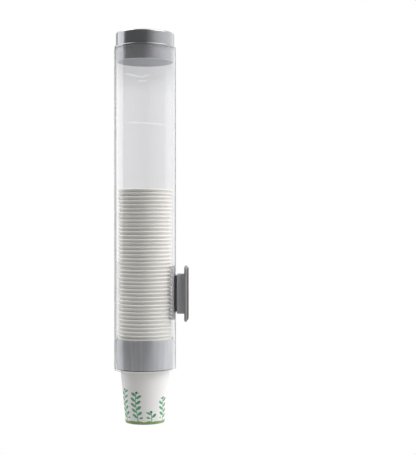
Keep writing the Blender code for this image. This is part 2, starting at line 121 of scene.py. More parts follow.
def clearAcrylic(tree, place, look):
    # extruded PMMA tube: clear with a faint grey cast, long draw lines and a few fine scuffs
    drawn = addNode(tree, "ShaderNodeMapping", {"Vector": place, "Scale": (1, 1, look["lineStretch"])})
    lines = addNode(tree, "ShaderNodeTexNoise", {"Vector": drawn, "Scale": 1 / (look["lineWidth"] * mm), "Detail": 3.0})
    scuffs = addNode(tree, "ShaderNodeTexNoise", {
        "Vector": place, "Scale": 1 / (look["scuffSize"] * mm), "Detail": 5.0, "Roughness": 0.7})
    haze = addNode(tree, "ShaderNodeMapRange", {
        "Value": scuffs, "From Min": 0.5, "From Max": 0.8,
        "To Min": look["roughness"], "To Max": look["scuffRoughness"]})
    # rub marks on the side that faces the room: each one's own frame runs from -1 to 1 along and across it
    spot = addNode(tree, "ShaderNodeSeparateXYZ", {0: place})
    rubbed = 0.0
    for away, level, lean, reach in look["rubs"]:
        local = addNode(tree, "ShaderNodeMapping", {
            "Vector": place, "Location": (0, away * mm, level * mm), "Rotation": (math.radians(lean), 0, 0),
            "Scale": (1, reach * mm, look["rubWidth"] * mm)}, vector_type="TEXTURE")
        size = addNode(tree, "ShaderNodeVectorMath", {0: local}, operation="ABSOLUTE")
        parts = addNode(tree, "ShaderNodeSeparateXYZ", {0: size})
        lengthwise, crosswise = (addNode(tree, "ShaderNodeMapRange", {
            "Value": parts.outputs[way], "From Min": solid, "To Min": 1.0, "To Max": 0.0})
            for way, solid in (("Y", look["rubSolidLong"]), ("Z", look["rubSolidWide"])))
        inside = addNode(tree, "ShaderNodeMath", {0: lengthwise, 1: crosswise}, operation="MULTIPLY")
        rubbed = addNode(tree, "ShaderNodeMath", {0: rubbed, 1: inside}, operation="MAXIMUM")
    inFront = addNode(tree, "ShaderNodeMath", {0: spot.outputs["X"], 1: 0.0}, operation="GREATER_THAN")
    rub = addNode(tree, "ShaderNodeMath", {0: rubbed, 1: inFront}, operation="MULTIPLY")
    # painted shade: the upper end is tinted darker under the lid, as if the lid shaded it
    lidShadeShare = addNode(tree, "ShaderNodeMapRange", {
        "Value": spot.outputs["Z"], "From Min": look["lidShadeFrom"] * mm, "From Max": look["lidShadeTo"] * mm})
    lidShaded = addNode(tree, "ShaderNodeMix", {
        0: lidShadeShare, 6: srgb(look["colour"]), 7: srgb(look["lidShadeColour"])}, data_type="RGBA")
    tint = addNode(tree, "ShaderNodeMix", {0: rub, 6: lidShaded, 7: srgb(look["rubColour"])}, data_type="RGBA")
    relief = addNode(tree, "ShaderNodeBump", {
        "Height": lines, "Strength": look["lineStrength"], "Distance": look["lineDepth"] * mm})
    body = addNode(tree, "ShaderNodeBsdfPrincipled", {
        "Base Color": tint, "Roughness": haze, "IOR": look["ior"], "Transmission Weight": look["clarity"],
        "Normal": relief})
    # light reaches what the tube holds
    passing = addNode(tree, "ShaderNodeBsdfTransparent", {"Color": srgb(look["passColour"])})
    path = addNode(tree, "ShaderNodeLightPath")
    lampSide = addNode(tree, "ShaderNodeMath", {
        0: path.outputs["Is Shadow Ray"], 1: path.outputs["Is Diffuse Ray"]}, operation="MAXIMUM")
    return addNode(tree, "ShaderNodeMixShader", {0: lampSide, 1: body, 2: passing})


def zincSteel(tree, place, look):
    # zinc-plated steel: bright, with the faint mottle of the plating
    mottle = addNode(tree, "ShaderNodeTexNoise", {
        "Vector": place, "Scale": 1 / (look["mottleSize"] * mm), "Detail": 3.0})
    tone = addNode(tree, "ShaderNodeMix", {
        0: mottle, 6: srgb(look["darkColour"]), 7: srgb(look["lightColour"])}, data_type="RGBA")
    sheen = addNode(tree, "ShaderNodeMapRange", {
        "Value": mottle, "To Min": look["roughness"] - look["roughSpread"],
        "To Max": look["roughness"] + look["roughSpread"]})
    return addNode(tree, "ShaderNodeBsdfPrincipled", {"Base Color": tone, "Roughness": sheen, "Metallic": 1.0})


def foamTape(tree, place, look):
    # closed-cell foam: dull, full of small pores
    pores = addNode(tree, "ShaderNodeTexVoronoi", {"Vector": place, "Scale": 1 / (look["poreSize"] * mm)})
    tone = addNode(tree, "ShaderNodeMix", {
        0: pores, 6: srgb(look["poreColour"]), 7: srgb(look["colour"])}, data_type="RGBA")
    relief = addNode(tree, "ShaderNodeBump", {
        "Height": pores, "Strength": look["poreStrength"], "Distance": look["poreDepth"] * mm})
    return addNode(tree, "ShaderNodeBsdfPrincipled", {
        "Base Color": tone, "Roughness": look["roughness"], "Normal": relief})


def printedBoard(tree, place, look, motif):
    # coated white board: soft gloss over faint fibres, with leafy sprigs printed round the outer wall
    fibres = addNode(tree, "ShaderNodeTexNoise", {
        "Vector": place, "Scale": 1 / (look["fibreSize"] * mm), "Detail": 4.0, "Roughness": 0.6})
    board = addNode(tree, "ShaderNodeMix", {
        0: fibres, 6: srgb(look["darkColour"]), 7: srgb(look["lightColour"])}, data_type="RGBA")
    relief = addNode(tree, "ShaderNodeBump", {
        "Height": fibres, "Strength": look["fibreStrength"], "Distance": look["fibreDepth"] * mm})
    # painted shade: the board darkens towards the top of the stack
    spot = addNode(tree, "ShaderNodeSeparateXYZ", {0: place})
    topShade = addNode(tree, "ShaderNodeMapRange", {
        "Value": spot.outputs["Z"], "From Min": look["topShadeFrom"] * mm, "From Max": look["topShadeTo"] * mm,
        "To Max": look["topShadeShare"]})
    topShaded = addNode(tree, "ShaderNodeMix", {0: topShade, 6: board, 7: srgb(look["topShadeColour"])}, data_type="RGBA")

    # the cup's own map: u once round it, v its height above the foot as a share of the cup
    sheet = addNode(tree, "ShaderNodeUVMap", uv_map="cupMap")
    split = addNode(tree, "ShaderNodeSeparateXYZ", {0: sheet})
    along = addNode(tree, "ShaderNodeMath", {0: split.outputs["X"], 1: motif["sprigs"]}, operation="MULTIPLY")
    height = addNode(tree, "ShaderNodeMath", {0: split.outputs["Y"], 1: cupShape["height"]}, operation="MULTIPLY")
    column = addNode(tree, "ShaderNodeMath", {0: along}, operation="FLOOR")
    chance = addNode(tree, "ShaderNodeTexWhiteNoise", {"W": column}, noise_dimensions="1D")
    draws = addNode(tree, "ShaderNodeSeparateColor", {0: chance.outputs["Color"]})
    reach = addNode(tree, "ShaderNodeMapRange", {
        "Value": draws.outputs["Red"], "To Min": motif["lowest"], "To Max": motif["tallest"]})

    # a stem that sways a little, measured in millimetres from its own middle
    within = addNode(tree, "ShaderNodeMath", {0: along}, operation="FRACT")
    phase = addNode(tree, "ShaderNodeMath", {
        0: height, 1: math.tau / motif["swayLength"], 2: draws.outputs["Green"]}, operation="MULTIPLY_ADD")
    wave = addNode(tree, "ShaderNodeMath", {0: phase}, operation="SINE")
    sway = addNode(tree, "ShaderNodeMath", {0: wave, 1: motif["sway"], 2: 0.5}, operation="MULTIPLY_ADD")
    offset = addNode(tree, "ShaderNodeMath", {0: within, 1: sway}, operation="SUBTRACT")
    across = addNode(tree, "ShaderNodeMath", {0: offset, 1: motif["spacing"]}, operation="MULTIPLY")
    side = addNode(tree, "ShaderNodeMath", {0: across}, operation="ABSOLUTE")
    stem = addNode(tree, "ShaderNodeMath", {0: side, 1: motif["stemWidth"] / 2}, operation="LESS_THAN")

    # leaves stand out by turns on the stem's two sides, as slanted ellipses
    rightSide = addNode(tree, "ShaderNodeMath", {0: across, 1: 0.0}, operation="GREATER_THAN")
    climb = addNode(tree, "ShaderNodeMath", {
        0: height, 1: 1 / motif["leafPitch"], 2: draws.outputs["Blue"]}, operation="MULTIPLY_ADD")
    turn = addNode(tree, "ShaderNodeMath", {0: rightSide, 1: 0.5, 2: climb}, operation="MULTIPLY_ADD")
    step = addNode(tree, "ShaderNodeMath", {0: turn}, operation="FRACT")
    fromMiddle = addNode(tree, "ShaderNodeMath", {
        0: step, 1: motif["leafPitch"], 2: -motif["leafPitch"] / 2}, operation="MULTIPLY_ADD")
    fromTip = addNode(tree, "ShaderNodeMath", {0: side, 1: motif["leafLength"] / 2}, operation="SUBTRACT")
    leafPoint = addNode(tree, "ShaderNodeCombineXYZ", {0: fromTip, 1: fromMiddle})
    slanted = addNode(tree, "ShaderNodeMapping", {
        "Vector": leafPoint, "Rotation": (0, 0, -math.radians(motif["leafSlant"]))})
    scaled = addNode(tree, "ShaderNodeVectorMath", {
        0: slanted, 1: (2 / motif["leafLength"], 2 / motif["leafWidth"], 0)}, operation="MULTIPLY")
    fromCentre = addNode(tree, "ShaderNodeVectorMath", {0: scaled}, operation="LENGTH")
    leaf = addNode(tree, "ShaderNodeMath", {0: fromCentre, 1: 1.0}, operation="LESS_THAN")
    below = addNode(tree, "ShaderNodeMath", {0: height, 1: reach}, operation="LESS_THAN")
    clear = addNode(tree, "ShaderNodeMath", {0: height, 1: motif["bareStem"]}, operation="GREATER_THAN")
    leafy = addNode(tree, "ShaderNodeMath", {0: leaf, 1: clear}, operation="MULTIPLY")
    plant = addNode(tree, "ShaderNodeMath", {0: stem, 1: leafy}, operation="MAXIMUM")
    onWall = addNode(tree, "ShaderNodeMath", {0: height, 1: motif["printStart"]}, operation="GREATER_THAN")
    grown = addNode(tree, "ShaderNodeMath", {0: plant, 1: below}, operation="MULTIPLY")
    sprig = addNode(tree, "ShaderNodeMath", {0: grown, 1: onWall}, operation="MULTIPLY")

    # a berry at each sprig's top
    overTop = addNode(tree, "ShaderNodeMath", {0: height, 1: reach}, operation="SUBTRACT")
    berryPoint = addNode(tree, "ShaderNodeCombineXYZ", {0: across, 1: overTop})
    fromBerry = addNode(tree, "ShaderNodeVectorMath", {0: berryPoint}, operation="LENGTH")
    berry = addNode(tree, "ShaderNodeMath", {0: fromBerry, 1: motif["berrySize"] / 2}, operation="LESS_THAN")

    # an uneven strip of ground round the foot
    tufts = addNode(tree, "ShaderNodeTexNoise", {"Vector": sheet, "Scale": motif["tufts"]})
    groundTop = addNode(tree, "ShaderNodeMath", {
        0: tufts, 1: motif["groundRough"], 2: motif["groundHeight"]}, operation="MULTIPLY_ADD")
    lowDown = addNode(tree, "ShaderNodeMath", {0: height, 1: groundTop}, operation="LESS_THAN")
    ground = addNode(tree, "ShaderNodeMath", {0: lowDown, 1: onWall}, operation="MULTIPLY")

    shade = addNode(tree, "ShaderNodeTexNoise", {"Vector": place, "Scale": 1 / (motif["inkPatch"] * mm)})
    leafInk = addNode(tree, "ShaderNodeMix", {
        0: shade, 6: srgb(motif["deepGreen"]), 7: srgb(motif["lightGreen"])}, data_type="RGBA")
    groundInk = addNode(tree, "ShaderNodeMix", {
        0: shade, 6: srgb(motif["mossGreen"]), 7: srgb(motif["grassGreen"])}, data_type="RGBA")
    withSprigs = addNode(tree, "ShaderNodeMix", {0: sprig, 6: topShaded, 7: leafInk}, data_type="RGBA")
    withBerries = addNode(tree, "ShaderNodeMix", {
        0: berry, 6: withSprigs, 7: srgb(motif["berryColour"])}, data_type="RGBA")
    printed = addNode(tree, "ShaderNodeMix", {0: ground, 6: withBerries, 7: groundInk}, data_type="RGBA")
    return addNode(tree, "ShaderNodeBsdfPrincipled", {
        "Base Color": printed, "Roughness": look["roughness"], "Normal": relief,
        "Coat Weight": look["coat"], "Coat Roughness": look["coatRoughness"]})


# the share of a side that a fillet may take, and how far its guard points stand from it
filletShare = 0.44
guardReach, guardShare = 0.2, 0.05


def softCorners(corners, closed, steps):
    # corners are (radius, level) or (radius, level, fillet) in millimetres, all in order down one side
    line = []
    count = len(corners)
    for i, corner in enumerate(corners):
        here = Vector(corner[:2])
        fillet = corner[2] if len(corner) > 2 else 0
        if not fillet or (not closed and i in (0, count - 1)):
            line.append(here)
            continue
        back = Vector(corners[i - 1][:2]) - here
        ahead = Vector(corners[(i + 1) % count][:2]) - here
        half = back.angle(ahead) / 2
        cut = min(fillet / math.tan(half), back.length * filletShare, ahead.length * filletShare)
        start = here + back.normalized() * cut
        end = here + ahead.normalized() * cut
        # a point just outside each end of the fillet keeps the flats beside it flat to the light
        line.append(start + back.normalized() * min(guardReach, back.length * guardShare))
        for k in range(steps + 1):
            s = k / steps
            line.append(start * (1 - s) ** 2 + here * 2 * s * (1 - s) + end * s * s)
        line.append(end + ahead.normalized() * min(guardReach, ahead.length * guardShare))
    return line


def meshFrom(work, name):
    mesh = bpy.data.meshes.new(name)
    work.to_mesh(mesh)
    work.free()
    return mesh


def makePiece(name, mesh, *finishes):
    piece = bpy.data.objects.new(name, mesh)
    scene.collection.objects.link(piece)
    for finish in finishes:
        mesh.materials.append(finish)
    return piece


def paintFaces(piece, index, chosen):
    for face in piece.data.polygons:
        if chosen(face):
            face.material_index = index


def smoothEdges(mesh, degrees=35):
    mesh.shade_smooth()
    mesh.set_sharp_from_angle(angle=math.radians(degrees))


def bake(piece):
    # modifiers become plain mesh
    graph = bpy.context.evaluated_depsgraph_get()
    mesh = bpy.data.meshes.new_from_object(piece.evaluated_get(graph), preserve_all_data_layers=True, depsgraph=graph)
    mesh.name = piece.name
    piece.modifiers.clear()
    piece.data = mesh


def cutOut(piece, toolMesh, crossing=False):
    # crossing is for a tool whose parts run through each other
    tool = makePiece("tool", toolMesh)
    cutter = piece.modifiers.new("cutter", "BOOLEAN")
    cutter.solver = "EXACT"
    cutter.use_self = crossing
    cutter.object = tool
    bake(piece)
    bpy.data.objects.remove(tool)


def roundEdges(piece, width, segments, limit):
    rounding = piece.modifiers.new("rounding", "BEVEL")
    rounding.width = width * mm
    rounding.segments = segments
    rounding.angle_limit = math.radians(limit)
    bake(piece)


def lathe(name, line, sides, closed=False, centre=axis, turns=None):
    # line is a list of (radius, level) in millimetres; turns gives the angles where the rings' points stand
    work = bmesh.new()
    turns = turns or [math.tau * k / sides for k in range(sides)]
    rings = []
    for radius, level in line:
        # one point on the axis serves as a whole ring
        ring = [work.verts.new(centre + Vector((radius * mm * math.cos(a), radius * mm * math.sin(a), level * mm)))
                for a in (turns if radius else turns[:1])]
        rings.append(ring if radius else ring * len(turns))
    for upper, lower in zip(rings, rings[1:] + (rings[:1] if closed else [])):
        for k in range(len(turns)):
            n = (k + 1) % len(turns)
            corners = list(dict.fromkeys([upper[k], upper[n], lower[n], lower[k]]))
            if len(corners) > 2:
                work.faces.new(corners)
    bmesh.ops.recalc_face_normals(work, faces=work.faces)
    mesh = meshFrom(work, name)
    smoothEdges(mesh)
    return mesh


def turnedPiece(name, corners, sides, *finishes, closed=False, steps=5, centre=axis):
    return makePiece(name, lathe(name, softCorners(corners, closed, steps), sides, closed, centre), *finishes)


def show(piece, body, slotName, *replaced):
    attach(piece, body)
    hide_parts(*replaced)


def softenedPiece(node, name, body, slotName, *finishes):
    # the CAD solid's own shape, its triangles joined up and its hard edges rounded as a mould leaves them
    work = bmesh.new()
    work.from_mesh(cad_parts[node].data)
    bmesh.ops.remove_doubles(work, verts=work.verts, dist=0.002 * mm)
    bmesh.ops.dissolve_limit(work, angle_limit=math.radians(0.5), verts=work.verts, edges=work.edges)
    bmesh.ops.recalc_face_normals(work, faces=work.faces)
    piece = makePiece(name, meshFrom(work, name), *finishes)
    roundEdges(piece, partsRounding[node], segments=3, limit=40)
    smoothEdges(piece.data, 30)
    show(piece, body, slotName, node)
    return piece


def newShapeTree(name, sizes):
    tree = bpy.data.node_groups.new(name, "GeometryNodeTree")
    for direction in ("INPUT", "OUTPUT"):
        tree.interface.new_socket(name="Geometry", in_out=direction, socket_type="NodeSocketGeometry")
    for label, value in sizes.items():
        kind = "NodeSocketInt" if isinstance(value, int) else "NodeSocketFloat"
        tree.interface.new_socket(name=label, in_out="INPUT", socket_type=kind)
    return tree, addNode(tree, "NodeGroupInput")


def growFrom(piece, tree, sizes, shape, finish):
    painted = addNode(tree, "GeometryNodeSetMaterial", {"Geometry": shape, "Material": finish})
    addNode(tree, "NodeGroupOutput", {"Geometry": painted})
    maker = piece.modifiers.new(tree.name, "NODES")
    maker.node_group = tree
    for item in tree.interface.items_tree:
        if item.in_out == "INPUT" and item.name in sizes:
            maker[item.identifier] = sizes[item.name]


tubeShape = {
    "outerRadius": 42.0, "bore": 40.2, "edgeRadius": 0.6, "sawnEdge": 0.9, "sides": 160, "screwHole": 4.4,
    "drillLength": 12.0, "drillSides": 32}
acrylicLook = {
    "colour": "#f0f0f1", "passColour": "#ffffff", "clarity": 0.957, "ior": 1.44, "roughness": 0.02,
    "scuffRoughness": 0.07, "scuffSize": 9.0,
    "lineWidth": 2.4, "lineStretch": 0.02, "lineStrength": 0.12, "lineDepth": 0.05,
    # each rub mark's distance from the wall, level, lean in degrees and half length
    "rubs": [
        (-55.0, 227.4, -2.9, 27.0), (-72.4, 290.9, -15.3, 11.8), (-57.1, 289.6, 21.0, 5.2), (-60.7, 283.2, 0.0, 5.5)],
    # rubSolidLong and rubSolidWide are the shares of a mark's half length and width that don't fade
    "rubWidth": 1.5, "rubColour": "#fcfcfd", "rubSolidLong": 0.7, "rubSolidWide": 0.2,
    # painted shade on the upper end, under the lid
    "lidShadeFrom": 272.0, "lidShadeTo": 298.0, "lidShadeColour": "#e7e7e8"}
acrylic = makeFinish("extruded clear acrylic", clearAcrylic, acrylicLook)
sawnAcrylicLook = {
    "darkColour": "#f2f2f3", "lightColour": "#fbfbfb", "roughness": 0.5, "ior": 1.49,
    "grainSize": 0.4, "flowAndStreakSize": 12.0}
sawnAcrylic = makeFinish("sawn acrylic edge", mouldedPlastic, sawnAcrylicLook)


def makeTube():
    s = tubeShape
    corners = [
        (s["outerRadius"], tubeTop, s["edgeRadius"]), (s["outerRadius"], tubeBottom, s["sawnEdge"]),
        (s["bore"], tubeBottom, s["sawnEdge"]), (s["bore"], tubeTop, s["edgeRadius"])]
    tube = turnedPiece("clear_tube", corners, s["sides"], acrylic, sawnAcrylic, closed=True)
    drillRadius = s["screwHole"] / 2 * mm
    for level in screwLevels:
        work = bmesh.new()
        bmesh.ops.create_cone(work, cap_ends=True, segments=s["drillSides"], radius1=drillRadius, radius2=drillRadius,
                              depth=s["drillLength"] * mm)
        spot = Matrix.Translation(axis + Vector((0, s["outerRadius"] * mm, level)))
        bmesh.ops.transform(work, matrix=spot @ quarterTurn, verts=work.verts)
        cutOut(tube, meshFrom(work, "drill"))
    # the lower end is sawn and frosted, the upper one is polished
    paintFaces(tube, 1, lambda face: face.center.z < (tubeBottom + s["sawnEdge"]) * mm)
    smoothEdges(tube.data)
    show(tube, "canister", "clear_acrylic", "tube")
    print("tube made")


lidShape = {
    "plugRadius": 38.8, "plugBore": 36.8, "plugFloor": 1.8, "plugEdge": 1.4, "upstandRadius": 37.6,
    "flangeRadius": 41.7, "flangeHeight": 2.8, "flangeLift": 0.3, "flangeEdge": 0.9, "flangeUnder": 0.3,
    "smallEdge": 0.4, "innerEdge": 1.0, "highlightShare": 0.8,
    "crownRadius": 39.7, "crownBore": 37.9, "crownWall": 1.8, "crownEdge": 3.4, "crownSteps": 8,
    "dish": 0.15, "dishFloor": 0.8, "dishRim": 0.86, "dishEdge": 2.0, "sides": 128}
silverAbsLook = {
    "darkColour": "#919295", "lightColour": "#9d9ea1", "roughness": 0.22, "metallic": 0.88, "coat": 1.0,
    "grainStrength": 0.12, "grainDepth": 0.02, "flowAndStreakSize": 40.0}
silverAbs = makeFinish("silver-grey moulded ABS", mouldedPlastic, silverAbsLook)
plugAbsLook = dict(silverAbsLook, darkColour="#aaabb0", lightColour="#b4b5ba", roughness=0.28, metallic=0.9, coat=0.3)
plugAbs = makeFinish("satin silver moulded ABS", mouldedPlastic, plugAbsLook)
matteAbsLook = dict(silverAbsLook, darkColour="#a4a6ac", lightColour="#aeb0b6", roughness=0.75, metallic=0.0, coat=0.0)
matteAbs = makeFinish("matte moulded ABS", mouldedPlastic, matteAbsLook)
# painted highlight: a pale band round the plug's lower edge
plugEdgeHighlightLook = dict(plugAbsLook, darkColour="#d6d7db", lightColour="#e0e1e4", roughness=0.5, metallic=0.5)
plugEdgeHighlightAbs = makeFinish("ABS with a painted highlight on the edge", mouldedPlastic, plugEdgeHighlightLook)
grainedAbsLook = dict(silverAbsLook, roughness=0.58, coat=0.0, grainSize=0.9, grainStrength=0.35, grainDepth=0.04)
grainedAbs = makeFinish("grained silver-grey ABS", mouldedPlastic, grainedAbsLook)


def makeLid():
    s = lidShape
    plugBottom, upstandTop = (corner.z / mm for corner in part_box("lid_plug"))
    crownBottom, crownTop = (corner.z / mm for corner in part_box("lid_crown"))
    flangeBottom = tubeTop + s["flangeLift"]
    flangeTop = flangeBottom + s["flangeHeight"]
    small, inner = s["smallEdge"], s["innerEdge"]
    plug = [
        (0, plugBottom + s["plugFloor"]), (s["plugBore"], plugBottom + s["plugFloor"], inner),
        (s["plugBore"], upstandTop, small), (s["upstandRadius"], upstandTop, small),
        (s["upstandRadius"], flangeTop, small), (s["flangeRadius"], flangeTop, s["flangeEdge"]),
        (s["flangeRadius"], flangeBottom, s["flangeUnder"]), (s["plugRadius"], flangeBottom, small),
        (s["plugRadius"], plugBottom, s["plugEdge"]), (0, plugBottom)]
    crown = [
        (0, crownTop - s["dish"]), (s["crownRadius"] * s["dishFloor"], crownTop - s["dish"], s["dishEdge"]),
        (s["crownRadius"] * s["dishRim"], crownTop, s["dishEdge"]), (s["crownRadius"], crownTop, s["crownEdge"]),
        (s["crownRadius"], crownBottom, small), (s["crownBore"], crownBottom, small),
        (s["crownBore"], crownTop - s["crownWall"], inner), (0, crownTop - s["crownWall"])]
    plugPiece = turnedPiece("lid_plug_moulding", plug, s["sides"], silverAbs, plugAbs, matteAbs, plugEdgeHighlightAbs)
    highlightTop = plugBottom + s["plugEdge"] * s["highlightShare"]
    highlightFrom = s["plugRadius"] - s["plugEdge"]
    # only the flange is polished, the underside is as the mould leaves it, and its lower edge is painted pale as a
    # highlight
    paintFaces(plugPiece, 1, lambda face: face.center.z < flangeBottom * mm)
    paintFaces(plugPiece, 3, lambda face: face.center.z < highlightTop * mm and math.hypot(
        face.center.x - axis.x, face.center.y - axis.y) > highlightFrom * mm)
    paintFaces(plugPiece, 2, lambda face: face.normal.z < -0.9 and face.center.z < (plugBottom + 0.1) * mm)
    crownPiece = turnedPiece("lid_crown_moulding", crown, s["sides"], silverAbs, grainedAbs, steps=s["crownSteps"])
    # the top is grained, and only the side and its rounded edge are polished
    paintFaces(crownPiece, 1, lambda face: face.normal.z > 0.9)
    show(plugPiece, "lid", "grey_plastic", "lid_plug")
    show(crownPiece, "lid", "grey_plastic", "lid_crown")
    print("lid made")


collarShape = {
    "bandRadius": 39.9, "bandHeight": 5.0, "mouthRadius": 38.4, "mouthBore": 37.1, "sleeveBore": 38.3,
    "mouthHeight": 10.5, "edge": 0.6, "smallEdge": 0.4, "shoulderEdge": 0.2, "lipHeight": 1.0, "sides": 128}
# painted reflection: the collar's upright streaks at full contrast stand for reflections seen through the tube's draw
# lines
collarAbsLook = dict(silverAbsLook, darkColour="#bbbdc1", lightColour="#d5d6da", roughness=0.45, metallic=1.0,
                     coat=0.2, flowAndStreakSize=4.5, streakStretch=0.03, flowAndStreakContrast=1.0)
collarAbs = makeFinish("pale silver moulded ABS", mouldedPlastic, collarAbsLook)
# painted shade: a dark finish for the collar's lower lip
lipShadeLook = dict(silverAbsLook, darkColour="#28292c", lightColour="#323336", roughness=0.6, metallic=0.0, coat=0.0)
lipShadeAbs = makeFinish("dark grey ABS painted as shade", mouldedPlastic, lipShadeLook)
retainerShape = {
    "radius": 37.6, "wall": 0.8, "fingers": 12, "slotWidth": 2.0, "slotHeight": 15.0, "columns": 8, "midRise": 2.0,
    "bend": [(37.6, 4.6), (37.25, 2.9), (36.3, 1.7), (35.35, 1.15)], "edge": 0.15}
softPeLook = {
    "darkColour": "#5c5d60", "lightColour": "#67686b", "roughness": 0.5, "ior": 1.51,
    "grainSize": 0.6, "grainStrength": 0.2, "grainDepth": 0.02, "flowAndStreakSize": 25.0}
softPe = makeFinish("soft moulded polyethylene", mouldedPlastic, softPeLook)


def makeCollar():
    s = collarShape
    low, high = (corner.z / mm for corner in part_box("collar"))
    shoulder = low + s["mouthHeight"]
    small = s["smallEdge"]
    # the lip's upper edge is a point on the tapering skirt
    lipShare = s["lipHeight"] / (high - s["bandHeight"] - low)
    lipRadius = s["mouthRadius"] + (s["bandRadius"] - s["mouthRadius"]) * lipShare
    corners = [
        (s["bandRadius"], high, s["edge"]), (s["bandRadius"], high - s["bandHeight"], small),
        (lipRadius, low + s["lipHeight"]), (s["mouthRadius"], low, s["edge"]), (s["mouthBore"], low, small),
        (s["mouthBore"], shoulder, small), (s["sleeveBore"], shoulder, s["shoulderEdge"]),
        (s["sleeveBore"], high, small)]
    collar = turnedPiece("collar_moulding", corners, s["sides"], collarAbs, lipShadeAbs, closed=True)
    # the lip round the mouth is painted dark, as painted shade of the gap below the collar
    paintFaces(collar, 1, lambda face: face.center.z < (low + s["lipHeight"]) * mm)
    show(collar, "canister", "grey_plastic", "collar")
    print("collar made")


def makeRetainer():
    # one finger with its share of the ring is drawn as a sheet; the tree turns it round the axis
    s = retainerShape
    low, high = (corner.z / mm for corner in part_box("cup_retainer"))
    slotTop = low + s["slotHeight"]
    levels = (high, (high + slotTop) / 2, slotTop, (slotTop + low) / 2 + s["midRise"])
    rows = [(s["radius"], level) for level in levels] + [(radius, low + rise) for radius, rise in s["bend"]]
    ringRows = 2
    sector = math.tau / s["fingers"]
    halfSlot = s["slotWidth"] / 2 / s["radius"]
    inner = sector / 2 - halfSlot
    turns = [-sector / 2] + [-inner + 2 * inner * k / s["columns"] for k in range(s["columns"] + 1)] + [sector / 2]
    work = bmesh.new()
    grid = [[work.verts.new((r * mm * math.cos(a), r * mm * math.sin(a), z * mm)) for a in turns] for r, z in rows]
    for i in range(len(rows) - 1):
        for k in range(len(turns) - 1):
            # below the ring the outer columns are halves of the slots
            if i < ringRows or k not in (0, len(turns) - 2):
                work.faces.new((grid[i][k], grid[i][k + 1], grid[i + 1][k + 1], grid[i + 1][k]))
    bmesh.ops.delete(work, geom=[point for point in work.verts if not point.link_faces], context="VERTS")
    retainer = makePiece("slotted_retainer", meshFrom(work, "retainer_finger"), softPe)

    sizes = {"Fingers": s["fingers"]}
    tree, start = newShapeTree("fingersRound", sizes)
    spots = addNode(tree, "GeometryNodeMeshLine", {"Count": start.outputs["Fingers"], "Offset": (0, 0, 0)})
    number = addNode(tree, "GeometryNodeInputIndex")
    step = addNode(tree, "ShaderNodeMath", {0: math.tau, 1: start.outputs["Fingers"]}, operation="DIVIDE")
    angle = addNode(tree, "ShaderNodeMath", {0: number, 1: step}, operation="MULTIPLY")
    turned = addNode(tree, "ShaderNodeCombineXYZ", {"Z": angle})
    placed = addNode(tree, "GeometryNodeInstanceOnPoints", {
        "Points": spots, "Instance": start.outputs["Geometry"], "Rotation": turned})
    solid = addNode(tree, "GeometryNodeRealizeInstances", {"Geometry": placed})
    joined = addNode(tree, "GeometryNodeMergeByDistance", {"Geometry": solid, "Distance": 0.01 * mm})
    moved = addNode(tree, "GeometryNodeTransform", {"Geometry": joined, "Translation": axis})
    growFrom(retainer, tree, sizes, moved, softPe)
    wall = retainer.modifiers.new("wall", "SOLIDIFY")
    wall.thickness = s["wall"] * mm
    wall.offset = 0
    roundEdges(retainer, s["edge"], segments=2, limit=50)
    smoothEdges(retainer.data)
    show(retainer, "canister", "retainer_plastic", "cup_retainer")
    print("retainer made")


cupShape = {
    "height": 89.0, "footRadius": 26.5, "mouthRadius": 34.7, "rimRadius": 36.6, "rimHeight": 2.8, "wall": 0.25,
    "wallLevels": (30.0, 60.0), "floorGap": 0.6, "floorThickness": 0.45, "floorBend": 1.2, "floorRise": 0.5,
    "footWall": 0.9, "footEdge": 0.1, "beadSteps": 12, "beadTurn": 250.0,
    "seamStep": 0.14, "seamWidth": 11.0, "seamEdgeAngle": 0.01, "frontTurn": 200.0, "frontSides": 120, "stackSides": 60}
boardLook = {
    "darkColour": "#ecebe9", "lightColour": "#f6f5f3", "fibreSize": 0.9, "fibreStrength": 0.15, "fibreDepth": 0.03,
    "roughness": 0.5, "coat": 0.35, "coatRoughness": 0.22,
    # painted shade towards the top of the stack
    "topShadeFrom": -60.0, "topShadeTo": 140.0, "topShadeShare": 0.25, "topShadeColour": "#cdc8c1"}
motifLook = {
    "sprigs": 9, "spacing": 21.0, "lowest": 17.0, "tallest": 50.0, "sway": 0.07, "swayLength": 46.0, "stemWidth": 1.1,
    "leafPitch": 7.4, "leafLength": 8.2, "leafWidth": 3.5, "leafSlant": 34.0, "bareStem": 8.0, "berrySize": 3.2,
    "tufts": 26.0, "groundRough": 4.0, "groundHeight": 2.0, "printStart": 0.3, "inkPatch": 7.0,
    "deepGreen": "#2f7d57", "lightGreen": "#6dbd8e", "mossGreen": "#5b7f45", "grassGreen": "#9dbb74",
    "berryColour": "#33413b"}
board = makeFinish("coated cupboard with printed sprigs", printedBoard, boardLook, motifLook)
# light that has gone through several cups comes back warmer
stackBoardLook = dict(boardLook, darkColour="#f1eee8", lightColour="#faf7f1")
stackBoard = makeFinish("coated cupboard in the stack", printedBoard, stackBoardLook, motifLook)
stackShape = {"Cups": len(stackNames), "Pitch": cupPitch, "Base Level": footLevel + cupPitch,
              "Lean": 1.1 * mm, "Tilt": math.radians(0.22), "Slip": 0.25 * mm, "Seed": 7}


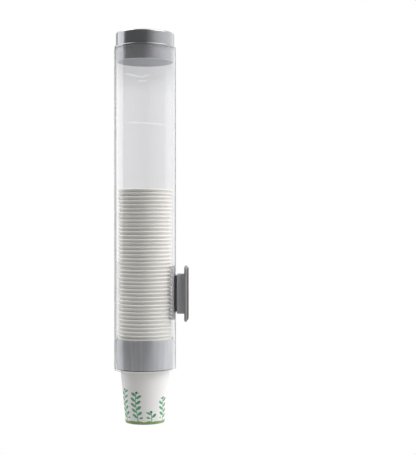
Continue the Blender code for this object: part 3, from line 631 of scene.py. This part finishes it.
def cupLine():
    # from the middle of the floor up the inside, over the rolled rim, down the outside and under the foot
    s = cupShape
    rise = s["height"] - s["rimHeight"]
    slope = (s["mouthRadius"] - s["footRadius"]) / rise
    floorTop = cupPitch / mm - s["floorGap"]
    floorLow = floorTop - s["floorThickness"]
    wallStart = floorTop + s["floorRise"]
    innerAt = s["footRadius"] - s["wall"]
    footInside = s["footRadius"] - s["footWall"]
    line = [(0, floorTop), (innerAt + slope * floorTop - s["floorBend"], floorTop)]
    line += [(innerAt + slope * z, z) for z in (wallStart, *s["wallLevels"], rise)]
    bead = (s["rimRadius"] + s["mouthRadius"] - s["wall"]) / 2
    beadHalf = s["rimRadius"] - bead
    beadLevel = s["height"] - s["rimHeight"] / 2
    for k in range(s["beadSteps"] + 1):
        a = math.radians(180 - s["beadTurn"] * k / s["beadSteps"])
        line.append((bead + beadHalf * math.cos(a), beadLevel + s["rimHeight"] / 2 * math.sin(a)))
    line.append((s["mouthRadius"] + 0.02, rise + 0.15))
    line += [(s["footRadius"] + slope * z, z) for z in (rise - 0.3, *reversed(s["wallLevels"]), 1.0)]
    line += [(s["footRadius"] - s["footEdge"], 0.0), (footInside + s["footEdge"], 0.0), (footInside, 0.2)]
    return line + [(footInside + slope * floorLow, floorLow), (0, floorLow)]


def makeCupMesh(name, sides):
    # the side seam's edge needs two columns of points close together
    s = cupShape
    turns = [math.tau * k / sides for k in range(sides)]
    turns.insert(1, s["seamEdgeAngle"])
    mesh = lathe(name, cupLine(), sides, centre=Vector((0, 0, 0)), turns=turns)
    rise = s["height"] - s["rimHeight"]
    slope = (s["mouthRadius"] - s["footRadius"]) / rise
    seam = s["seamWidth"] / s["mouthRadius"]
    near = 0.15 * mm
    for vertex in mesh.vertices:
        x, y, z = vertex.co
        radius = math.hypot(x, y)
        a = math.atan2(y, x) % math.tau
        wallRadius = s["footRadius"] * mm + slope * z
        onOuterWall = radius > s["footRadius"] * mm - near and z < rise * mm and abs(radius - wallRadius) < near
        if onOuterWall and s["seamEdgeAngle"] / 2 < a < seam:
            grow = 1 + s["seamStep"] * mm / radius * (1 - a / seam)
            vertex.co = (x * grow, y * grow, z)
    # the outer wall carries the print; the rest of the map lies below it
    cupMap = mesh.uv_layers.new(name="cupMap")
    for face in mesh.polygons:
        out = Vector((face.center.x, face.center.y, 0)).normalized()
        middle = math.hypot(face.center.x, face.center.y) / mm
        printed = (face.normal.dot(out) > 0.5 and face.center.z < rise * mm
                   and middle > s["footRadius"] + slope * face.center.z / mm - 0.2)
        turn = math.atan2(face.center.y, face.center.x) % math.tau
        for loop in face.loop_indices:
            point = mesh.vertices[mesh.loops[loop].vertex_index].co
            a = math.atan2(point.y, point.x) % math.tau
            a -= math.tau * round((a - turn) / math.tau)
            cupMap.data[loop].uv = (a / math.tau, point.z / mm / s["height"] if printed else -0.5)
    return mesh


def makeFrontCup():
    mesh = makeCupMesh("front_paper_cup", cupShape["frontSides"])
    spin = Matrix.Rotation(math.radians(cupShape["frontTurn"]), 4, "Z")
    mesh.transform(Matrix.Translation(axis + Vector((0, 0, footLevel))) @ spin)
    show(makePiece("front_paper_cup", mesh, board), "front_cup", "cup_paper", "cup_01")
    print("front cup made")


def makeStack():
    # the nested cups: a line of points up the tube, each with a cup that slips, leans and tilts a little
    stack = makePiece("nested_cups", makeCupMesh("nested_cups", cupShape["stackSides"]), stackBoard)
    tree, start = newShapeTree("nestedCups", stackShape)
    rise = addNode(tree, "ShaderNodeCombineXYZ", {"Z": start.outputs["Pitch"]})
    lowest = addNode(tree, "ShaderNodeCombineXYZ", {"X": axis.x, "Y": axis.y, "Z": start.outputs["Base Level"]})
    spots = addNode(tree, "GeometryNodeMeshLine", {
        "Count": start.outputs["Cups"], "Start Location": lowest, "Offset": rise})
    number = addNode(tree, "GeometryNodeInputIndex")
    # the lowest cups stand true in the retainer, and the freedom grows over the next few
    freedom = addNode(tree, "ShaderNodeMapRange", {"Value": number, "From Max": 12.0})
    drift = addNode(tree, "ShaderNodeTexNoise", {"W": number, "Scale": 0.11, "Detail": 3.0, "Roughness": 0.6},
                    noise_dimensions="1D")
    centred = addNode(tree, "ShaderNodeVectorMath", {
        0: drift.outputs["Color"], 1: (0.5, 0.5, 0.5)}, operation="SUBTRACT")
    amount = addNode(tree, "ShaderNodeMath", {0: freedom, 1: start.outputs["Lean"]}, operation="MULTIPLY")
    doubled = addNode(tree, "ShaderNodeMath", {0: amount, 1: 2.0}, operation="MULTIPLY")
    lean = addNode(tree, "ShaderNodeVectorMath", {0: centred, "Scale": doubled}, operation="SCALE")
    slip = addNode(tree, "FunctionNodeRandomValue", {2: -1.0, 3: 1.0, "Seed": start.outputs["Seed"]})
    slipAmount = addNode(tree, "ShaderNodeMath", {0: slip, 1: start.outputs["Slip"]}, operation="MULTIPLY")
    slipNow = addNode(tree, "ShaderNodeMath", {0: slipAmount, 1: freedom}, operation="MULTIPLY")
    flat = addNode(tree, "ShaderNodeVectorMath", {0: lean, 1: (1, 1, 0)}, operation="MULTIPLY")
    slipUp = addNode(tree, "ShaderNodeCombineXYZ", {"Z": slipNow})
    offset = addNode(tree, "ShaderNodeVectorMath", {0: flat, 1: slipUp}, operation="ADD")
    moved = addNode(tree, "GeometryNodeSetPosition", {"Geometry": spots, "Offset": offset})
    tip = addNode(tree, "FunctionNodeRandomValue", {0: (-1, -1, 0), 1: (1, 1, 0), "Seed": start.outputs["Seed"]},
                  data_type="FLOAT_VECTOR")
    tilt = addNode(tree, "ShaderNodeMath", {0: freedom, 1: start.outputs["Tilt"]}, operation="MULTIPLY")
    tipNow = addNode(tree, "ShaderNodeVectorMath", {0: tip, "Scale": tilt}, operation="SCALE")
    spin = addNode(tree, "FunctionNodeRandomValue", {3: math.tau, "Seed": start.outputs["Seed"]})
    spun = addNode(tree, "ShaderNodeCombineXYZ", {"Z": spin})
    facing = addNode(tree, "ShaderNodeVectorMath", {0: tipNow, 1: spun}, operation="ADD")
    placed = addNode(tree, "GeometryNodeInstanceOnPoints", {
        "Points": moved, "Instance": start.outputs["Geometry"], "Rotation": facing})
    solid = addNode(tree, "GeometryNodeRealizeInstances", {"Geometry": placed})
    growFrom(stack, tree, stackShape, solid, stackBoard)
    bake(stack)
    smoothEdges(stack.data)
    show(stack, "cup_stack", "cup_paper", *stackNames)
    print("stack made")


partsRounding = {"slide_rail": 0.35, "backing_plate": 0.5, "wall_bracket": 0.45, "adhesive_pad": 0.35}
charcoalAbsLook = {
    "darkColour": "#3d3e41", "lightColour": "#464749", "roughness": 0.42, "ior": 1.52, "flowAndStreakSize": 20.0}
charcoalAbs = makeFinish("charcoal textured ABS", mouldedPlastic, charcoalAbsLook)
paleNylonLook = {
    "darkColour": "#f0edf5", "lightColour": "#f6f3fa", "roughness": 0.45, "ior": 1.53,
    "grainSize": 0.7, "grainStrength": 0.2, "grainDepth": 0.02, "flowAndStreakSize": 18.0}
paleNylon = makeFinish("pale moulded nylon", mouldedPlastic, paleNylonLook)


def makeRail():
    softenedPiece("slide_rail", "slide_rail_moulding", "canister", "charcoal_plastic", charcoalAbs)
    softenedPiece("backing_plate", "backing_plate_moulding", "canister", "pale_plastic", paleNylon)
    print("rail and backing plate made")


screwShape = {
    "headRadius": 3.5, "headDepth": 1.5, "headEdge": 0.2, "shankRadius": 1.9, "neck": 0.4, "neckEdge": 0.1,
    "threadPitch": 1.0, "threadDepth": 0.25, "tipLength": 1.6, "tipRadius": 0.4, "tipEdge": 0.2, "sides": 32,
    "slotWidth": 0.75, "slotReach": 2.0, "slotDepth": 1.0, "slotEnd": 0.45, "slotFloor": 0.6}
zincLook = {
    "darkColour": "#a9adb2", "lightColour": "#c9ccd0", "roughness": 0.3, "roughSpread": 0.08, "mottleSize": 1.2}
zinc = makeFinish("zinc-plated steel", zincSteel, zincLook)


def makeScrews():
    # a countersunk cross-head screw, drawn once and set at both places by the tree
    s = screwShape
    low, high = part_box("rail_screw_upper")
    length = (high.y - low.y) / mm
    root = s["shankRadius"] - s["threadDepth"]
    line = [(0, 0), (s["headRadius"], 0, s["headEdge"]), (s["shankRadius"], -s["headDepth"], s["neckEdge"])]
    level = -s["headDepth"] - s["neck"]
    while level > -length + s["tipLength"]:
        line += [(s["shankRadius"], level), (root, level - s["threadPitch"] / 2)]
        level -= s["threadPitch"]
    line += [(root, -length + s["tipLength"] / 2, s["tipEdge"]), (s["tipRadius"], -length), (0, -length)]
    screw = turnedPiece("rail_screws", line, s["sides"], zinc, steps=2, centre=Vector((0, 0, 0)))
    work = bmesh.new()
    for turn in (0, 90):
        bar = bmesh.ops.create_cube(work, size=1)["verts"]
        size = Vector((2 * s["slotReach"], s["slotWidth"], 2 * s["slotDepth"])) * mm
        bmesh.ops.scale(work, vec=size, verts=bar)
        for vertex in bar:
            if vertex.co.z < 0:
                vertex.co.x *= s["slotEnd"]
                vertex.co.y *= s["slotFloor"]
        bmesh.ops.rotate(work, matrix=Matrix.Rotation(math.radians(turn), 3, "Z"), verts=bar)
    cutOut(screw, meshFrom(work, "driver"), crossing=True)
    screw.data.transform(Matrix.Translation(Vector((axis.x, low.y, 0))) @ quarterTurn)

    sizes = {"Upper Level": screwLevels[0], "Step": screwLevels[1] - screwLevels[0]}
    tree, start = newShapeTree("screwsAtPlaces", sizes)
    first = addNode(tree, "ShaderNodeCombineXYZ", {"Z": start.outputs["Upper Level"]})
    step = addNode(tree, "ShaderNodeCombineXYZ", {"Z": start.outputs["Step"]})
    spots = addNode(tree, "GeometryNodeMeshLine", {"Count": len(screwLevels), "Start Location": first, "Offset": step})
    placed = addNode(tree, "GeometryNodeInstanceOnPoints", {"Points": spots, "Instance": start.outputs["Geometry"]})
    solid = addNode(tree, "GeometryNodeRealizeInstances", {"Geometry": placed})
    growFrom(screw, tree, sizes, solid, zinc)
    bake(screw)
    smoothEdges(screw.data, 30)
    show(screw, "canister", "screw_steel", "rail_screw_upper", "rail_screw_lower")
    print("screws made")


plateThickness = 4.0
# painted light on the block and painted shade on the plate, evening out how the light falls on them
blockLightenedLook = {
    "darkColour": "#b0b1b6", "lightColour": "#b8b9be", "roughness": 0.6, "ior": 1.52, "flowAndStreakSize": 22.0}
blockLightenedAbs = makeFinish("mid-grey ABS with painted light on the block", mouldedPlastic, blockLightenedLook)
plateDarkenedLook = dict(blockLightenedLook, darkColour="#8b8c90", lightColour="#939498")
plateDarkenedAbs = makeFinish("grey ABS with painted shade on the plate", mouldedPlastic, plateDarkenedLook)
foamLook = {
    "colour": "#827a73", "poreColour": "#665f59", "poreSize": 0.6, "poreStrength": 0.5, "poreDepth": 0.12,
    "roughness": 0.9}
foam = makeFinish("closed-cell foam tape", foamTape, foamLook)


def makeBracket():
    bracket = softenedPiece("wall_bracket", "wall_bracket_moulding", "wall_bracket", "bracket_plastic",
                            blockLightenedAbs, plateDarkenedAbs)
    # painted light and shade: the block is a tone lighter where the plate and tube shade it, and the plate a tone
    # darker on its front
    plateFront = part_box("wall_bracket")[1].y - plateThickness * mm
    paintFaces(bracket, 1, lambda face: face.center.y > plateFront - 0.1 * mm)
    softenedPiece("adhesive_pad", "foam_pad", "wall_bracket", "foam_pad", foam)
    print("bracket and pad made")


studio = {
    "floorLevel": -1.05, "floorSize": 6.0, "floorColour": "#f4f4f3", "bounceColour": "#c8c8c7",
    "floorGlow": 0.7, "fadeFrom": 1.3, "fadeTo": 3.0,
    "darkLevel": 0.13, "lightLevel": 1.42, "lightTurn": 124.0, "darkFrom": -0.45,
    "flagTurn": 165.0, "flagReach": 15.0, "flagCore": 0.7, "flagLevel": 0.45}
# each lamp's turn from the camera's side to the wall and its lift in degrees, distance, width, height and power
lamps = {
    "left_softbox": (-108.5, 17.5, 2.2, 1.75, 1.45, 12.8),
    "left_low_softbox": (-108.5, -10.0, 2.34, 1.75, 0.75, 4.0),
    "left_high_softbox": (-108.0, 55.0, 2.2, 1.6, 1.3, 29.0),
    "right_softbox": (66.0, 50.0, 2.2, 2.0, 2.0, 34.0),
    "top_softbox": (0.0, 90.0, 1.9, 1.7, 1.7, 4.0)}
view = {"distance": 1.5, "across": 0.0265, "level": 0.0893, "lens": 87.3}


def paleSurface(tree, place, look):
    # a matte floor that keeps the shadow, turns as white as the background towards its edge and bounces less light
    white = addNode(tree, "ShaderNodeEmission")
    path = addNode(tree, "ShaderNodeLightPath")
    bounces = addNode(tree, "ShaderNodeMath", {0: path.outputs["Diffuse Depth"], 1: path.outputs["Glossy Depth"]})
    straight = addNode(tree, "ShaderNodeMath", {0: bounces, 1: 1.0}, operation="LESS_THAN")
    shade = addNode(tree, "ShaderNodeMix", {
        0: straight, 6: srgb(look["bounceColour"]), 7: srgb(look["floorColour"])}, data_type="RGBA")
    matte = addNode(tree, "ShaderNodeBsdfDiffuse", {"Color": shade})
    away = addNode(tree, "ShaderNodeVectorMath", {0: place}, operation="LENGTH")
    level = addNode(tree, "ShaderNodeMapRange", {
        "Value": away, "From Min": look["fadeFrom"], "From Max": look["fadeTo"], "To Min": look["floorGlow"]})
    share = addNode(tree, "ShaderNodeMath", {0: straight, 1: level}, operation="MULTIPLY")
    return addNode(tree, "ShaderNodeMixShader", {0: share, 1: matte, 2: white})


def addLamp(name, turnDegrees, liftDegrees, distance, width, height, power):
    turn, lift = math.radians(turnDegrees), math.radians(liftDegrees)
    out = Vector((math.cos(turn) * math.cos(lift), math.sin(turn) * math.cos(lift), math.sin(lift)))
    data = bpy.data.lights.new(name, "AREA")
    data.shape = "RECTANGLE"
    data.size, data.size_y = width, height
    data.energy = power
    lamp = bpy.data.objects.new(name, data)
    scene.collection.objects.link(lamp)
    lamp.location = axis + out * distance
    lamp.rotation_euler = out.to_track_quat("Z", "Y").to_euler()
    lamp.visible_camera = False


def makeStudio():
    s = studio
    half = s["floorSize"] / 2
    corners = [(x, y, s["floorLevel"]) for x, y in ((-half, -half), (half, -half), (half, half), (-half, half))]
    floorMesh = bpy.data.meshes.new("studio_floor")
    floorMesh.from_pydata(corners, [], [(0, 1, 2, 3)])
    floor = makePiece("studio_floor", floorMesh, makeFinish("matte white floor", paleSurface, s))

    world = bpy.data.worlds.new("studio")
    scene.world = world
    world.use_nodes = True
    tree = world.node_tree
    tree.nodes.clear()
    heading = addNode(tree, "ShaderNodeTexCoord").outputs["Generated"]
    facing, near = (addNode(tree, "ShaderNodeVectorMath", {
        0: heading, 1: (math.cos(turn), math.sin(turn), 0)}, operation="DOT_PRODUCT")
        for turn in (math.radians(s["lightTurn"]), math.radians(s["flagTurn"])))
    level = addNode(tree, "ShaderNodeMapRange", {
        "Value": facing, "From Min": s["darkFrom"], "To Min": s["darkLevel"], "To Max": s["lightLevel"]})
    # a black flag behind the right edge draws a thin line along the tube
    flag = addNode(tree, "ShaderNodeMapRange", {
        "Value": near, "From Min": math.cos(math.radians(s["flagReach"])),
        "From Max": math.cos(math.radians(s["flagReach"] * s["flagCore"])), "To Min": 1.0, "To Max": s["flagLevel"]})
    flagged = addNode(tree, "ShaderNodeMath", {0: level, 1: flag}, operation="MULTIPLY")
    room = addNode(tree, "ShaderNodeBackground", {"Color": (1, 1, 1, 1), "Strength": flagged})
    white = addNode(tree, "ShaderNodeBackground", {"Color": (1, 1, 1, 1)})
    path = addNode(tree, "ShaderNodeLightPath")
    # through the tube the room is as white as beside it, but what reflects in the pieces is the studio
    bounces = addNode(tree, "ShaderNodeMath", {0: path.outputs["Diffuse Depth"], 1: path.outputs["Glossy Depth"]})
    direct = addNode(tree, "ShaderNodeMath", {0: bounces, 1: 1.0}, operation="LESS_THAN")
    through = addNode(tree, "ShaderNodeMath", {0: path.outputs["Is Transmission Ray"], 1: direct}, operation="MULTIPLY")
    seen = addNode(tree, "ShaderNodeMath", {0: path.outputs["Is Camera Ray"], 1: through}, operation="MAXIMUM")
    both = addNode(tree, "ShaderNodeMixShader", {0: seen, 1: room, 2: white})
    addNode(tree, "ShaderNodeOutputWorld", {"Surface": both})

    for name, facts in lamps.items():
        addLamp(name, *facts)
    print("studio made")


def makeCamera():
    data = bpy.data.cameras.new("photo_view")
    data.lens = view["lens"]
    camera = bpy.data.objects.new("photo_view", data)
    scene.collection.objects.link(camera)
    camera.location = (axis.x + view["distance"], view["across"], view["level"])
    camera.rotation_euler = (math.radians(90), 0, math.radians(90))
    scene.camera = camera


makeCamera()
makeTube()
makeLid()
makeCollar()
makeRetainer()
makeFrontCup()
makeStack()
makeRail()
makeScrews()
makeBracket()
makeStudio()
